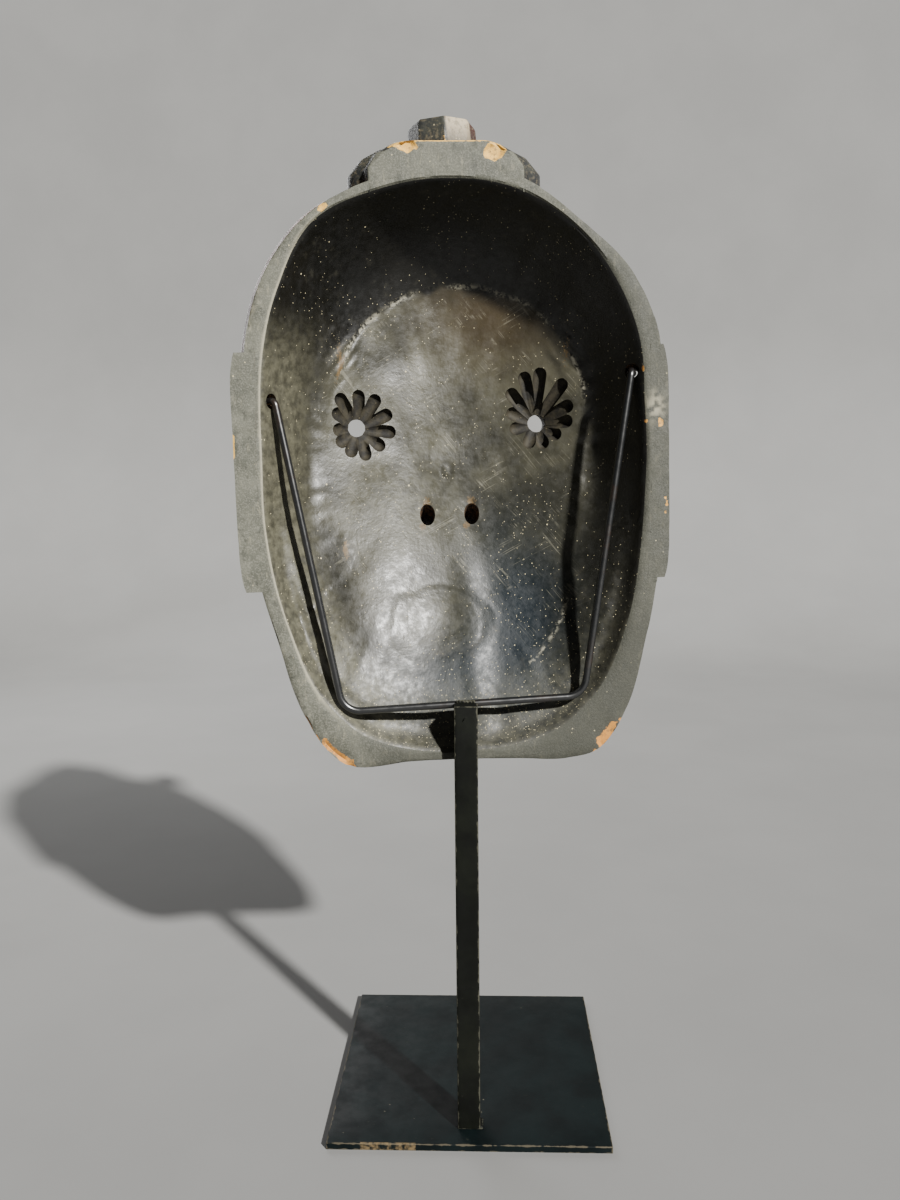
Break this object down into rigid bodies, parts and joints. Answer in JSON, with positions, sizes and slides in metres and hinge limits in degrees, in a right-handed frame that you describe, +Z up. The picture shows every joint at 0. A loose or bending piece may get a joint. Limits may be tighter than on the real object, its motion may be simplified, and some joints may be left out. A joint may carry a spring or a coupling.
{
  "type": "tengu mask on a display stand",
  "caption": "Carved wooden long-nosed folk mask with a hollow lacquered back, held by a bent steel rod on an upright bar and square plate.",
  "frame": {"origin": "centre of the base plate's underside", "axes": "+Z up; the mask's face and nose look to -Y and its hollow back to +Y"},
  "size_m": [0.2934, 0.2835, 0.7021],
  "materials": {
    "lacquered_wood": "worn black lacquer over pale carved wood",
    "blackened_steel": "black paint, satin, worn at the edges"
  },
  "bodies": {
    "root": {"carved_mask": "lacquered_wood", "cradle_rod": "blackened_steel", "post": "blackened_steel", "base_plate": "blackened_steel"}
  },
  "joints": []
}
